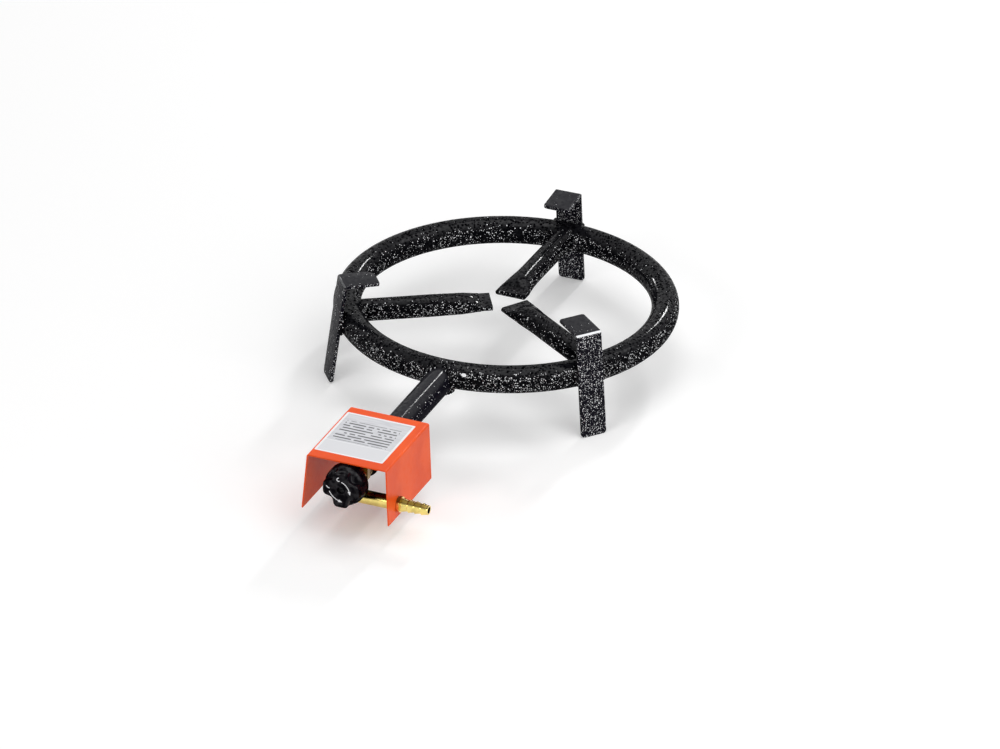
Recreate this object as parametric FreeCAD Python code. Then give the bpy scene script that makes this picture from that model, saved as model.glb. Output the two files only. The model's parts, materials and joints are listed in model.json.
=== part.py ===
import FreeCAD, Part
import math
import os

# Ring gas burner on three bent strip legs, with its valve under a folded sheet cover.
# Millimetres. The floor is z = 0 and the ring's axis is the Z axis.
# The supply tube runs from the ring towards -Y, so a "reach" is a distance from the ring's axis
# towards -Y. Angles are measured about Z from +X.

# Burner ring, bent from round tube
ring_outer_d = 250.0
ring_tube_d = 20.0
ring_wall = 2.0
ring_height = 43.5          # centreline above the floor

# Gas ports, two staggered rows along the crown of the ring and of each arm
port_d = 1.3
port_pitch = 6.5
port_lean = 9.5             # degrees from the crown
arm_port_pitch = 7.8
arm_port_lean = 12.0        # degrees from the crown
arm_port_margin = 6.0       # solid length left at each end of a row

# Burner arms, tubes pressed flat at the inner end
arm_tube_d = 16.4
arm_wall = 1.5
arm_rise = 0.4              # axis above the ring's centreline, at the ring
arm_taper = 44.0
arm_taper_power = 3         # 1 is a straight taper; more keeps the tube round for longer
arm_taper_steps = 10
arm_lip = 7.5
arm_lip_width = 23.6
arm_lip_height = 3.6
arm_lip_slit = 0.8          # height of the bore where the lip pinches it shut
arm_flat_share = 0.985      # height of the lip at its round sides, as a share of its middle
arm_angle = {"rear": 89.9, "left": 210.4, "right": 326.7}
arm_tilt = {"rear": 1.4, "left": 0.9, "right": 1.3}     # degrees, rising inwards
arm_tip_radius = {"rear": 7.7, "left": 11.1, "right": 10.8}

# Legs, one bent strip each: foot, post and inward tab that carries the pan
leg_width = 20.0
leg_thickness = 2.5
leg_splay = 7.6             # degrees outwards, going down
leg_bend_radius = 0.8       # inside of the bend
leg_corner_radius = 2.5
leg_tab = 26.3
pan_height = 77.5
leg_angle = {"rear": 91.1, "left": 217.7, "right": 321.2}

# Supply tube, which is also the gas and air mixer
supply_tube_d = 20.0
supply_wall = 2.0
supply_length = 130.0       # from the ring's outside to the open mouth
supply_drop = 3.0           # axis below the ring's centreline
supply_port_d = 13.0        # opening in the ring's wall
supply_overlap = 6.0        # how far the tube's end runs in under the ring

# Weld beads
weld_leg = 2.2
weld_leg_length = 13.0
weld_collar = 2.2
weld_arm_collar = 1.7
weld_bracket_d = 2.8
weld_bracket_end = 1.5      # bare length at each end of the bead
weld_bracket_offset = 0.55  # from the tube's crown, as a share of the tube's radius
braze_collar = 1.0

# Bracket, one bent strip that joins the supply tube, the cover and the valve
bracket_width = 16.0
bracket_thickness = 2.0
bracket_bend_radius = 0.6
bracket_foot = 14.0
bracket_step = 6.0          # run of the sloping part
bracket_deck = 28.0         # flat part under the cover
air_gap = 7.0               # from the supply tube's mouth to the bracket's upright

# Valve body, turned brass
body_d = 15.0
body_length = 15.0
body_hex = 16.0             # across flats
body_hex_length = 5.0
nose_d = 10.0
nose_length = 6.5
nose_bore_d = 4.0
seat_d = 2.4
seat_length = 1.5
chamber_d = 6.6
chamber_back = 4.0          # from the bracket to the chamber's inner end
inlet_reach_offset = 5.7    # from the bracket's front face to the inlet
inlet_neck_d = 9.0
inlet_bore_d = 3.4

# Lock nut and injector behind the bracket
locknut_flats = 14.0
locknut_thickness = 3.5
injector_thread_d = 6.0
injector_thread_length = 4.0
injector_flats = 9.0
injector_head = 3.0
injector_tip_d = 4.0
injector_tip_length = 4.5
injector_bore_d = 2.6
injector_jet_d = 0.9
injector_jet_length = 2.0

# Bonnet, stem and seal
bonnet_thread_d = 10.0
bonnet_thread_length = 4.0
bonnet_flats = 12.0
bonnet_head = 3.0
stem_d = 6.4
stem_shank_d = 3.0
stem_shank_length = 4.0
needle_tip_d = 1.2
needle_half_angle = 15.0
groove_d = 4.0
groove_width = 1.6
seal_cover = 2.1            # bonnet left outside the groove when the valve is open
drive_d = 6.0
drive_flat = 0.9            # depth of the flat on the drive end
drive_length = 9.4
running_fit = 0.05          # radial, on everything that turns or slides
thread_pitch = 1.0          # stem travel per turn
turns_to_open = 1.6

# Knob and its screw
knob_gap = 1.0              # from the bonnet to the knob's back
knob_depth = 15.5
knob_skirt_d = 31.0
knob_rim = 2.2
knob_skirt_depth = 5.0
knob_skirt_bulge = 0.75     # how far the skirt's arc stands out; 0.5 is a plain cone
knob_shoulder_d = 25.0
knob_lobes = 4
knob_lobe_radius = 5.6
knob_lobe_reach = 13.8      # from the axis to the end of a lobe
knob_waist_radius = 9.8     # from the axis to the bottom of a hollow
knob_edge_radius = 1.2
knob_hub_d = 10.4
knob_hollow_d = 17.0
knob_hollow_depth = 8.0
knob_web = 2.0
screw_d = 3.0
screw_length = 8.0
screw_head_d = 4.8
screw_head = 1.6
screw_slot = 0.8
screw_recess_d = 5.4

# Inlet pipe with its end plug and hose tail
pipe_d = 10.2
pipe_wall = 1.5
pipe_drop = 17.6            # axis below the valve's axis
pipe_left = 10.0            # from the valve's axis to the closed end
pipe_past_cover = 0.7
plug_length = 4.0
tail_shank = 7.0
tail_collar_d = 11.4
tail_collar = 1.8
tail_length = 22.4          # from the collar's back to the tip
tail_root_d = 10.0
tail_tip_d = 7.0
tail_ridge = 0.7            # how far a ridge stands over the core
tail_ridges = 4
tail_crest_share = 0.25     # share of a ridge's length before its crest
tail_tip_land = 1.0
tail_bore_d = 4.6

# Valve cover, folded sheet
cover_width = 60.6
cover_length = 75.5
cover_sheet = 1.0
cover_flange = 43.4
cover_flare = {"left": 5.2, "right": 2.8}       # degrees outwards, going down
cover_bend_radius = 0.5
cover_overhang = 4.5        # past the knob's back
cover_clear = 6.0           # over the supply tube
pipe_hole_clearance = 0.3
stud_d = 4.0
stud_length = 5.6
stud_clearance = 0.1
stud_rear_reach = 7.0       # from the deck's rear end
stud_spacing = 11.0
nut_flats = 7.0
nut_thickness = 3.2

# Label on top of the cover
label_width = 52.0
label_length = 59.0
label_thickness = 0.15
label_corner_radius = 1.0
label_left_margin = 1.7
label_rear_margin = 7.8

# Places worked out from the sizes above
ring_tube_r = ring_tube_d / 2
ring_mid_r = ring_outer_d / 2 - ring_tube_r
arm_height = ring_height + arm_rise
valve_height = ring_height - supply_drop
mouth_reach = ring_outer_d / 2 + supply_length
upright_back = mouth_reach + air_gap
upright_front = upright_back + bracket_thickness
body_front = upright_front + body_length
bonnet_front = body_front + bonnet_head
knob_back = bonnet_front + knob_gap
knob_face = knob_back + knob_depth
cover_front = knob_back + cover_overhang
cover_rear = cover_front - cover_length
supply_top = valve_height + supply_tube_d / 2
cover_under = supply_top + cover_clear
cover_top = cover_under + cover_sheet
deck_rear = upright_front - bracket_deck
pipe_reach = upright_front + inlet_reach_offset
pipe_height = valve_height - pipe_drop
pipe_bore_d = pipe_d - 2 * pipe_wall
cover_side_at_pipe = cover_width / 2 + (cover_top - pipe_height) * math.tan(math.radians(cover_flare["right"]))
pipe_right = cover_side_at_pipe + pipe_past_cover
seat_front = upright_front + chamber_back
seat_back = seat_front - seat_length
stem_shoulder = seat_front + stem_shank_length
drive_end = knob_back + drive_length
stem_travel = thread_pitch * turns_to_open
groove_far = bonnet_front - seal_cover - stem_travel
groove_near = groove_far - groove_width

vector = FreeCAD.Vector
x_axis = vector(1, 0, 0)
y_axis = vector(0, 1, 0)
z_axis = vector(0, 0, 1)
out_of_the_way = 5.0        # how far a cutting tool runs past what it cuts
full_turn = 360.0
close_enough = 0.01         # for picking edges by place


def rod(diameter, start, end):
    """A round bar along local Z from start to end."""
    return Part.makeCylinder(diameter / 2, end - start, vector(0, 0, start))


def hexagon(flats, start, end):
    """A hexagonal bar along local Z from start to end."""
    corner = flats / math.sqrt(3)
    points = [
        vector(corner * math.cos(turn), corner * math.sin(turn), start)
        for turn in ((side + 0.5) * math.pi / 3 for side in range(7))
    ]
    return Part.Face(Part.makePolygon(points)).extrude(vector(0, 0, end - start))


def turned(outline):
    """A solid of revolution about local Z from (radius, distance) points."""
    points = [vector(radius, 0, distance) for radius, distance in outline]
    face = Part.Face(Part.makePolygon(points + points[:1]))
    return face.revolve(vector(0, 0, 0), z_axis, full_turn)


def rounded_path(points, radii):
    """Edges through (u, v) points, with an arc of the given radius at each inner point."""
    edges = []
    start = vector(points[0][0], 0, points[0][1])
    for index in range(1, len(points) - 1):
        before, corner, after = (vector(p[0], 0, p[1]) for p in points[index - 1:index + 2])
        way_in = (corner - before).normalize()
        way_out = (after - corner).normalize()
        turn = way_in.getAngle(way_out)
        radius = radii[index - 1]
        setback = radius * math.tan(turn / 2)
        first = corner - way_in * setback
        last = corner + way_out * setback
        to_centre = (way_out - way_in).normalize()
        middle = corner + to_centre * (radius / math.cos(turn / 2) - radius)
        edges.append(Part.makeLine(start, first))
        edges.append(Part.Arc(first, middle, last).toShape())
        start = last
    edges.append(Part.makeLine(start, vector(points[-1][0], 0, points[-1][1])))
    return edges


def bent_strip(points, thickness, inside_radius, width):
    """A strip in the local XZ plane, one face along the points and the metal on their right."""
    lines = []
    for (u0, v0), (u1, v1) in zip(points, points[1:]):
        length = math.hypot(u1 - u0, v1 - v0)
        way = ((u1 - u0) / length, (v1 - v0) / length)
        shift = (way[1] * thickness, -way[0] * thickness)
        lines.append(((u0 + shift[0], v0 + shift[1]), (u1 + shift[0], v1 + shift[1]), way))
    other = [lines[0][0]]
    near_radii = []
    far_radii = []
    for (_, end, way), (start, _, next_way) in zip(lines, lines[1:]):
        turn = way[0] * next_way[1] - way[1] * next_way[0]
        gap = (start[0] - end[0], start[1] - end[1])
        along = (gap[0] * next_way[1] - gap[1] * next_way[0]) / turn
        other.append((end[0] + way[0] * along, end[1] + way[1] * along))
        bends_right = turn < 0
        near_radii.append(inside_radius + thickness if bends_right else inside_radius)
        far_radii.append(inside_radius if bends_right else inside_radius + thickness)
    other.append(lines[-1][1])
    near = rounded_path(points, near_radii)
    far = rounded_path(other, far_radii)
    ends = [
        Part.makeLine(vector(p[0], 0, p[1]), vector(q[0], 0, q[1]))
        for p, q in ((points[0], other[0]), (points[-1], other[-1]))
    ]
    outline = Part.Wire(Part.__sortEdges__(near + far + ends))
    face = Part.Face(outline)
    face.translate(vector(0, -width / 2, 0))
    return face.extrude(vector(0, width, 0))


def on_arm_axis(shape, side):
    """Local Z becomes the distance out along an arm, local -X its crown; the arm tilts about the ring."""
    out = FreeCAD.Placement(vector(0, 0, arm_height), FreeCAD.Rotation(z_axis, arm_angle[side]))
    tilted = FreeCAD.Placement(
        vector(0, 0, 0), FreeCAD.Rotation(y_axis, arm_tilt[side]), vector(ring_mid_r, 0, 0)
    )
    laid = FreeCAD.Placement(vector(0, 0, 0), FreeCAD.Rotation(y_axis, 90))
    shape.Placement = out * tilted * laid
    return shape


def turned_to(shape, angle):
    """Turn a shape drawn in the local XZ plane about the ring's axis."""
    shape.rotate(vector(0, 0, 0), z_axis, angle)
    return shape


def on_valve_axis(shape):
    """Local Z becomes the reach along -Y at the valve's height; local Y becomes up."""
    shape.Placement = FreeCAD.Placement(
        vector(0, 0, valve_height), FreeCAD.Rotation(x_axis, 90)
    )
    return shape


def on_pipe_axis(shape):
    """Local Z becomes +X along the inlet pipe."""
    shape.Placement = FreeCAD.Placement(
        vector(0, -pipe_reach, pipe_height), FreeCAD.Rotation(y_axis, 90)
    )
    return shape


def capsule(start, end, diameter):
    """A round-ended bead between two points."""
    way = end - start
    bead = Part.makeCylinder(diameter / 2, way.Length, start, way)
    for tip in (start, end):
        bead = bead.fuse(Part.makeSphere(diameter / 2, tip))
    return bead.removeSplitter()


def ring_solid(growth):
    """The ring's outer form as a full torus, grown by a margin."""
    return Part.makeTorus(ring_mid_r, ring_tube_r + growth, vector(0, 0, ring_height))


def arm_outline(width, height, flatness, distance):
    """Four arcs: a circle at flatness 0, flat above and below with round sides at flatness 1."""
    round_corner = math.cos(math.radians(45))
    across = round_corner * width / 2 * (1 - flatness) + (width - height) / 2 * flatness
    up = (round_corner * (1 - flatness) + arm_flat_share * flatness) * height / 2
    corners = [(up, -across), (up, across), (-up, across), (-up, -across)]
    middles = [(height / 2, 0), (0, width / 2), (-height / 2, 0), (0, -width / 2)]
    edges = []
    for index, middle in enumerate(middles):
        start = corners[index]
        end = corners[(index + 1) % len(corners)]
        edges.append(Part.Arc(*(vector(p[0], p[1], distance) for p in (start, middle, end))).toShape())
    return Part.Wire(edges)


def arm_form(tube_d, lip_width, lip_height, tip, end):
    """Sections of a tube from end towards the ring's axis, pressed flat along the taper, then a lip."""
    taper_start = tip + arm_lip + arm_taper
    sections = [arm_outline(tube_d, tube_d, 0, end)]
    for index in range(arm_taper_steps + 1):
        share = index / arm_taper_steps
        eased = share ** arm_taper_power
        sections.append(arm_outline(
            tube_d + (lip_width - tube_d) * eased,
            tube_d + (lip_height - tube_d) * eased,
            eased,
            taper_start - arm_taper * share,
        ))
    sections.append(arm_outline(lip_width, lip_height, 1, tip))
    return sections


def port_drill(diameter, wall, axis_r, position, lean_way):
    """A short drill through one tube wall, from position out along lean_way."""
    start = position + lean_way * (axis_r - 2 * wall)
    return Part.makeCylinder(diameter / 2, 3 * wall, start, lean_way)


def burner_ring():
    ring = ring_solid(0).cut(ring_solid(-ring_wall))
    drills = []
    count = round(2 * math.pi * ring_mid_r / port_pitch)
    for row in (-1, 1):
        lean = math.radians(port_lean) * row
        for index in range(count):
            angle = 2 * math.pi * (index + row / 4) / count
            way_out = vector(math.cos(angle), math.sin(angle), 0)
            centre = way_out * ring_mid_r + vector(0, 0, ring_height)
            lean_way = way_out * math.sin(lean) + z_axis * math.cos(lean)
            drills.append(port_drill(port_d, ring_wall, ring_tube_r, centre, lean_way))
    for side in arm_angle:
        arm_bore = arm_tube_d - 2 * arm_wall
        drills.append(on_arm_axis(rod(arm_bore, ring_mid_r - 2 * ring_tube_r, ring_mid_r), side))
    drills.append(on_valve_axis(rod(supply_port_d, ring_mid_r, ring_mid_r + 2 * ring_tube_r)))
    return ring.cut(drills)


def burner_arm(side):
    tip = arm_tip_radius[side]
    outer = arm_form(arm_tube_d, arm_lip_width, arm_lip_height, tip, ring_mid_r)
    bore = arm_form(
        arm_tube_d - 2 * arm_wall, arm_lip_width - 2 * arm_wall, arm_lip_slit, tip, ring_mid_r
    )[:-1]
    drills = []
    row_start = tip + arm_lip + arm_taper / 2 + arm_port_margin
    row_end = ring_outer_d / 2 - ring_tube_d - arm_port_margin
    for row in (-1, 1):
        lean = math.radians(arm_port_lean) * row
        lean_way = vector(-math.cos(lean), math.sin(lean), 0)
        distance = row_start + (row + 1) * arm_port_pitch / 4
        while distance <= row_end:
            drills.append(port_drill(port_d, arm_wall, arm_tube_d / 2, vector(0, 0, distance), lean_way))
            distance += arm_port_pitch
    arm = Part.makeLoft(outer, True, True).cut([Part.makeLoft(bore, True, True)] + drills)
    return on_arm_axis(arm, side).cut(ring_solid(0))


def saddle_bead(tube_d, place, start, end, bead):
    """Weld round a tube that meets the ring: both outer forms grown by the bead, less the metal."""
    around = place(rod(tube_d + 2 * bead, start, end))
    return ring_solid(bead).common(around).cut([ring_solid(0), place(rod(tube_d, start - out_of_the_way, end + out_of_the_way))])


def arm_weld(side):
    def place(shape):
        return on_arm_axis(shape, side)

    return saddle_bead(arm_tube_d, place, ring_mid_r - 2 * ring_tube_r, ring_mid_r, weld_arm_collar)


def leg_lines():
    """Distances that place a leg: inner face, outer corner of the bend, foot."""
    splay = math.radians(leg_splay)
    face = ring_mid_r * math.cos(splay) + ring_tube_r
    rise = pan_height - ring_height
    corner = (face + leg_thickness - rise * math.sin(splay)) / math.cos(splay)
    foot = (face + leg_thickness + ring_height * math.sin(splay)) / math.cos(splay)
    return splay, face, corner, foot


def pan_leg(side):
    splay, _, corner, foot = leg_lines()
    overrun = out_of_the_way / math.cos(splay)
    points = [
        (corner - leg_tab, pan_height),
        (corner, pan_height),
        (foot + overrun * math.sin(splay), -overrun * math.cos(splay)),
    ]
    leg = bent_strip(points, leg_thickness, leg_bend_radius, leg_width)
    reach = ring_outer_d
    below = Part.makeBox(2 * reach, leg_width * 2, 2 * out_of_the_way, vector(0, -leg_width, -2 * out_of_the_way))
    leg = leg.cut(below)
    corners = []
    for edge in leg.Edges:
        if len(edge.Vertexes) != 2:
            continue
        middle = edge.CenterOfMass
        way = edge.tangentAt(edge.FirstParameter)
        at_side = abs(abs(middle.y) - leg_width / 2) < close_enough
        across_sheet = abs(edge.Length - leg_thickness) < leg_thickness / 10
        if at_side and across_sheet and abs(way.y) < close_enough:
            corners.append(edge)
    leg = leg.makeFillet(leg_corner_radius, corners)
    return turned_to(leg, leg_angle[side])


def leg_weld(side):
    splay, face, _, _ = leg_lines()
    down = vector(math.sin(splay), 0, -math.cos(splay))
    touch = vector(face / math.cos(splay), 0, ring_height) - down * (ring_tube_r * math.sin(splay))
    beads = []
    for hand in (-1, 1):
        middle = touch + vector(0, hand * leg_width / 2, 0)
        half = (weld_leg_length - 2 * weld_leg) / 2
        beads.append(capsule(middle - down * half, middle + down * half, 2 * weld_leg))
    leg = pan_leg(side)
    beads = [turned_to(bead, leg_angle[side]).cut([leg, ring_solid(0)]) for bead in beads]
    return Part.makeCompound(beads)


def supply_tube():
    start = ring_outer_d / 2 - supply_overlap
    tube = rod(supply_tube_d, start, mouth_reach).cut(rod(supply_tube_d - 2 * supply_wall, start, mouth_reach))
    return on_valve_axis(tube).cut(ring_solid(0))


def supply_weld():
    start = ring_outer_d / 2 - supply_overlap
    collar = saddle_bead(supply_tube_d, on_valve_axis, start, start + 3 * ring_tube_r, weld_collar)
    closing = on_valve_axis(rod(supply_tube_d + 2 * weld_collar, start - weld_collar, start))
    return collar.fuse(closing.cut(ring_solid(0))).removeSplitter()


def valve_bracket():
    foot_top = supply_top + bracket_thickness
    step_start = deck_rear - bracket_step
    points = [
        (step_start - bracket_foot, foot_top),
        (step_start, foot_top),
        (deck_rear, cover_under),
        (upright_front, cover_under),
        (upright_front, valve_height - bracket_width / 2),
    ]
    strip = turned_to(bent_strip(points, bracket_thickness, bracket_bend_radius, bracket_width), -90)
    lower_half = Part.makeBox(
        bracket_width, 2 * bracket_thickness, bracket_width,
        vector(-bracket_width / 2, -upright_front - bracket_thickness / 2, valve_height - bracket_width),
    )
    round_end = on_valve_axis(
        rod(bracket_width, upright_back - out_of_the_way, upright_front + out_of_the_way)
    )
    nose_hole = on_valve_axis(rod(
        nose_d + 2 * stud_clearance, upright_back - out_of_the_way, upright_front + out_of_the_way
    ))
    strip = strip.cut([lower_half.cut(round_end), nose_hole])
    return strip.cut([stud_rod(reach, stud_d + 2 * stud_clearance) for reach in stud_reaches()])


def bracket_weld():
    """Two beads in the wedges between the bracket's foot and the supply tube's crown."""
    foot_front = deck_rear - bracket_step
    tube_r = supply_tube_d / 2
    offset = tube_r * weld_bracket_offset
    tube_side = valve_height + math.sqrt(tube_r ** 2 - offset ** 2)
    middle = (tube_side + supply_top) / 2
    beads = []
    for hand in (-1, 1):
        start = vector(hand * offset, -(foot_front - bracket_foot + weld_bracket_end), middle)
        end = vector(hand * offset, -(foot_front - weld_bracket_end), middle)
        beads.append(capsule(start, end, weld_bracket_d))
    tube = on_valve_axis(rod(supply_tube_d, 0, mouth_reach))
    return Part.makeCompound([bead.cut([tube, valve_bracket()]) for bead in beads])


def stud_reaches():
    first = deck_rear + stud_rear_reach
    return [first, first + stud_spacing]


def stud_rod(reach, diameter):
    return Part.makeCylinder(diameter / 2, stud_length, vector(0, -reach, cover_under - stud_length))


def cover_studs():
    return Part.makeCompound([stud_rod(reach, stud_d) for reach in stud_reaches()])


def cover_nuts():
    nuts = []
    for reach in stud_reaches():
        nut = hexagon(nut_flats, 0, nut_thickness).cut(rod(stud_d, 0, nut_thickness))
        nut.translate(vector(0, -reach, cover_under - bracket_thickness - nut_thickness))
        nuts.append(nut)
    return Part.makeCompound(nuts)


def valve_cover():
    left, right = (cover_flange * math.tan(math.radians(cover_flare[side])) for side in ("left", "right"))
    half = cover_width / 2
    foot = cover_top - cover_flange
    points = [(-half - left, foot), (-half, cover_top), (half, cover_top), (half + right, foot)]
    cover = bent_strip(points, cover_sheet, cover_bend_radius, cover_length)
    cover.translate(vector(0, -(cover_front + cover_rear) / 2, 0))
    hole = on_pipe_axis(rod(
        pipe_d + 2 * pipe_hole_clearance,
        cover_width / 2 - out_of_the_way,
        cover_side_at_pipe + out_of_the_way,
    ))
    return cover.cut(hole)


def rating_label():
    left = -cover_width / 2 + label_left_margin
    rear = -(cover_rear + label_rear_margin)
    sheet = Part.makeBox(
        label_width, label_length, label_thickness,
        vector(left, rear - label_length, cover_top),
    )
    corners = [e for e in sheet.Edges if abs(e.Length - label_thickness) < close_enough]
    return sheet.makeFillet(label_corner_radius, corners)


def valve_body():
    outside = rod(body_d, upright_front, body_front)
    outside = outside.fuse([
        hexagon(body_hex, upright_front, upright_front + body_hex_length),
        rod(nose_d, upright_front - bracket_thickness - nose_length, upright_front),
    ])
    nose_end = upright_back - nose_length
    bores = [
        rod(injector_thread_d, nose_end, nose_end + injector_thread_length),
        rod(nose_bore_d, nose_end, seat_back),
        rod(seat_d, seat_back, seat_front),
        rod(chamber_d, seat_front, body_front),
        rod(bonnet_thread_d, body_front - bonnet_thread_length, body_front),
    ]
    body = on_valve_axis(outside.removeSplitter())
    neck = Part.makeCylinder(inlet_neck_d / 2, pipe_drop, vector(0, -pipe_reach, pipe_height))
    gas_way = Part.makeCylinder(inlet_bore_d / 2, pipe_drop, vector(0, -pipe_reach, pipe_height))
    body = body.fuse(neck).removeSplitter()
    pipe = on_pipe_axis(rod(pipe_d, -pipe_left, pipe_right))
    return body.cut([on_valve_axis(bore) for bore in bores] + [gas_way, pipe])


def locknut():
    back = upright_back - locknut_thickness
    nut = hexagon(locknut_flats, back, upright_back)
    nut = nut.cut(rod(nose_d, back, upright_back))
    return on_valve_axis(nut)


def injector():
    seat = upright_back - nose_length
    tip = seat - injector_head - injector_tip_length
    nozzle = turned([
        (0, tip),
        (injector_tip_d / 2, tip),
        (injector_thread_d / 2, seat - injector_head),
        (injector_thread_d / 2, seat + injector_thread_length),
        (0, seat + injector_thread_length),
    ]).fuse(hexagon(injector_flats, seat - injector_head, seat))
    nozzle = nozzle.cut([
        rod(injector_jet_d, tip, seat),
        rod(injector_bore_d, tip + injector_jet_length, seat + injector_thread_length),
    ])
    return on_valve_axis(nozzle)


def bonnet():
    start = body_front - bonnet_thread_length
    piece = rod(bonnet_thread_d, start, body_front).fuse(hexagon(bonnet_flats, body_front, bonnet_front))
    return on_valve_axis(piece.removeSplitter().cut(rod(stem_d + 2 * running_fit, start, bonnet_front)))


def needle_stem():
    seat_r = seat_d / 2 - running_fit
    slope = math.tan(math.radians(needle_half_angle))
    tip = seat_front - (seat_r - needle_tip_d / 2) / slope
    cone_end = seat_front + (stem_shank_d / 2 - seat_r) / slope
    stem = turned([
        (0, tip),
        (needle_tip_d / 2, tip),
        (stem_shank_d / 2, cone_end),
        (stem_shank_d / 2, stem_shoulder),
        (stem_d / 2, stem_shoulder),
        (stem_d / 2, groove_near),
        (groove_d / 2, groove_near),
        (groove_d / 2, groove_far),
        (stem_d / 2, groove_far),
        (stem_d / 2, knob_back),
        (drive_d / 2, knob_back),
        (drive_d / 2, drive_end),
        (0, drive_end),
    ])
    tap = rod(screw_d, drive_end + knob_web - screw_length, drive_end)
    return on_valve_axis(stem.cut([drive_flat_block(0), tap]))


def drive_flat_block(clearance):
    """The metal missing beside the flat of the drive end."""
    height = drive_d / 2 - drive_flat + clearance
    return Part.makeBox(
        2 * drive_d, drive_d, drive_length + out_of_the_way,
        vector(-drive_d, height, knob_back),
    )


def stem_seal():
    """Rubber ring in the stem's groove, a running fit in the groove and in the bonnet."""
    inner = groove_d / 2 + running_fit
    outer = stem_d / 2
    middle = (groove_near + groove_far) / 2
    seal = Part.makeTorus((inner + outer) / 2, (outer - inner) / 2, vector(0, 0, middle))
    return on_valve_axis(seal)


def lobed_outline(distance):
    """Lobes and hollows as tangent arcs round the axis."""
    lobe_centre = knob_lobe_reach - knob_lobe_radius
    half = math.pi / knob_lobes
    # A hollow's circle touches the waist and both neighbouring lobes.
    known = lobe_centre ** 2 + knob_waist_radius ** 2 - 2 * lobe_centre * knob_waist_radius * math.cos(half)
    hollow = (known - knob_lobe_radius ** 2) / (
        2 * (knob_lobe_radius - knob_waist_radius + lobe_centre * math.cos(half))
    )
    hollow_centre = knob_waist_radius + hollow

    def at(radius, angle):
        return vector(radius * math.cos(angle), radius * math.sin(angle), distance)

    edges = []
    for index in range(knob_lobes):
        angle = 2 * half * index
        lobe = at(lobe_centre, angle)
        meets = []
        for hand in (-1, 1):
            other = at(hollow_centre, angle + hand * half)
            meets.append(lobe + (other - lobe).normalize() * knob_lobe_radius)
        edges.append(Part.Arc(meets[0], at(knob_lobe_reach, angle), meets[1]).toShape())
        next_lobe = at(lobe_centre, angle + 2 * half)
        other = at(hollow_centre, angle + half)
        next_meet = next_lobe + (other - next_lobe).normalize() * knob_lobe_radius
        edges.append(Part.Arc(meets[1], at(knob_waist_radius, angle + half), next_meet).toShape())
    return Part.Wire(edges)


def knob_skirt():
    """Round rim at the back, rising as an arc to the shoulder."""
    rim_r = knob_skirt_d / 2
    shoulder_r = knob_shoulder_d / 2
    rim = knob_back + knob_rim
    top = knob_back + knob_skirt_depth
    middle = vector(
        shoulder_r + (rim_r - shoulder_r) * knob_skirt_bulge, 0, rim + (top - rim) * knob_skirt_bulge
    )
    edges = [
        Part.makeLine(vector(0, 0, knob_back), vector(rim_r, 0, knob_back)),
        Part.makeLine(vector(rim_r, 0, knob_back), vector(rim_r, 0, rim)),
        Part.Arc(vector(rim_r, 0, rim), middle, vector(shoulder_r, 0, top)).toShape(),
        Part.makeLine(vector(shoulder_r, 0, top), vector(0, 0, top)),
        Part.makeLine(vector(0, 0, top), vector(0, 0, knob_back)),
    ]
    return Part.Face(Part.Wire(edges)).revolve(vector(0, 0, 0), z_axis, full_turn)


def control_knob():
    grip = Part.Face(lobed_outline(knob_back + knob_rim)).extrude(vector(0, 0, knob_depth - knob_rim))
    front = [
        e for e in grip.Edges
        if min(e.BoundBox.ZMin, e.BoundBox.ZMax) > knob_face - close_enough
    ]
    grip = grip.makeFillet(knob_edge_radius, front)
    knob = grip.fuse(knob_skirt()).removeSplitter()
    hollow = rod(knob_hollow_d, knob_back, knob_back + knob_hollow_depth)
    hollow = hollow.cut(rod(knob_hub_d, knob_back, knob_back + knob_hollow_depth))
    socket = rod(drive_d + 2 * running_fit, knob_back, drive_end).cut(drive_flat_block(running_fit))
    web_front = drive_end + knob_web
    knob = knob.cut([
        hollow,
        socket,
        rod(screw_d + 2 * running_fit, drive_end, web_front),
        rod(screw_recess_d, web_front, knob_face),
    ])
    return on_valve_axis(knob)


def knob_screw():
    seat = drive_end + knob_web
    screw = rod(screw_d, seat - screw_length, seat).fuse(rod(screw_head_d, seat, seat + screw_head))
    slot = Part.makeBox(
        screw_head_d, screw_slot, screw_slot,
        vector(-screw_head_d / 2, -screw_slot / 2, seat + screw_head - screw_slot),
    )
    return on_valve_axis(screw.removeSplitter().cut(slot))


def inlet_pipe():
    pipe = rod(pipe_d, -pipe_left, pipe_right).cut(rod(pipe_bore_d, -pipe_left, pipe_right))
    gas_way = Part.makeCylinder(inlet_bore_d / 2, pipe_d, vector(0, -pipe_reach, pipe_height))
    return on_pipe_axis(pipe).cut(gas_way)


def pipe_plug():
    return on_pipe_axis(rod(pipe_bore_d, -pipe_left, -pipe_left + plug_length))


def inlet_braze():
    """Brazing round the valve's neck where it sits on the pipe."""
    neck = Part.makeCylinder(inlet_neck_d / 2, pipe_drop, vector(0, -pipe_reach, pipe_height))
    around = Part.makeCylinder(inlet_neck_d / 2 + braze_collar, pipe_drop, vector(0, -pipe_reach, pipe_height))
    grown = on_pipe_axis(rod(pipe_d + 2 * braze_collar, -pipe_left, pipe_left))
    pipe = on_pipe_axis(rod(pipe_d, -pipe_left - out_of_the_way, pipe_left + out_of_the_way))
    return grown.common(around).cut([pipe, neck])


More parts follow.
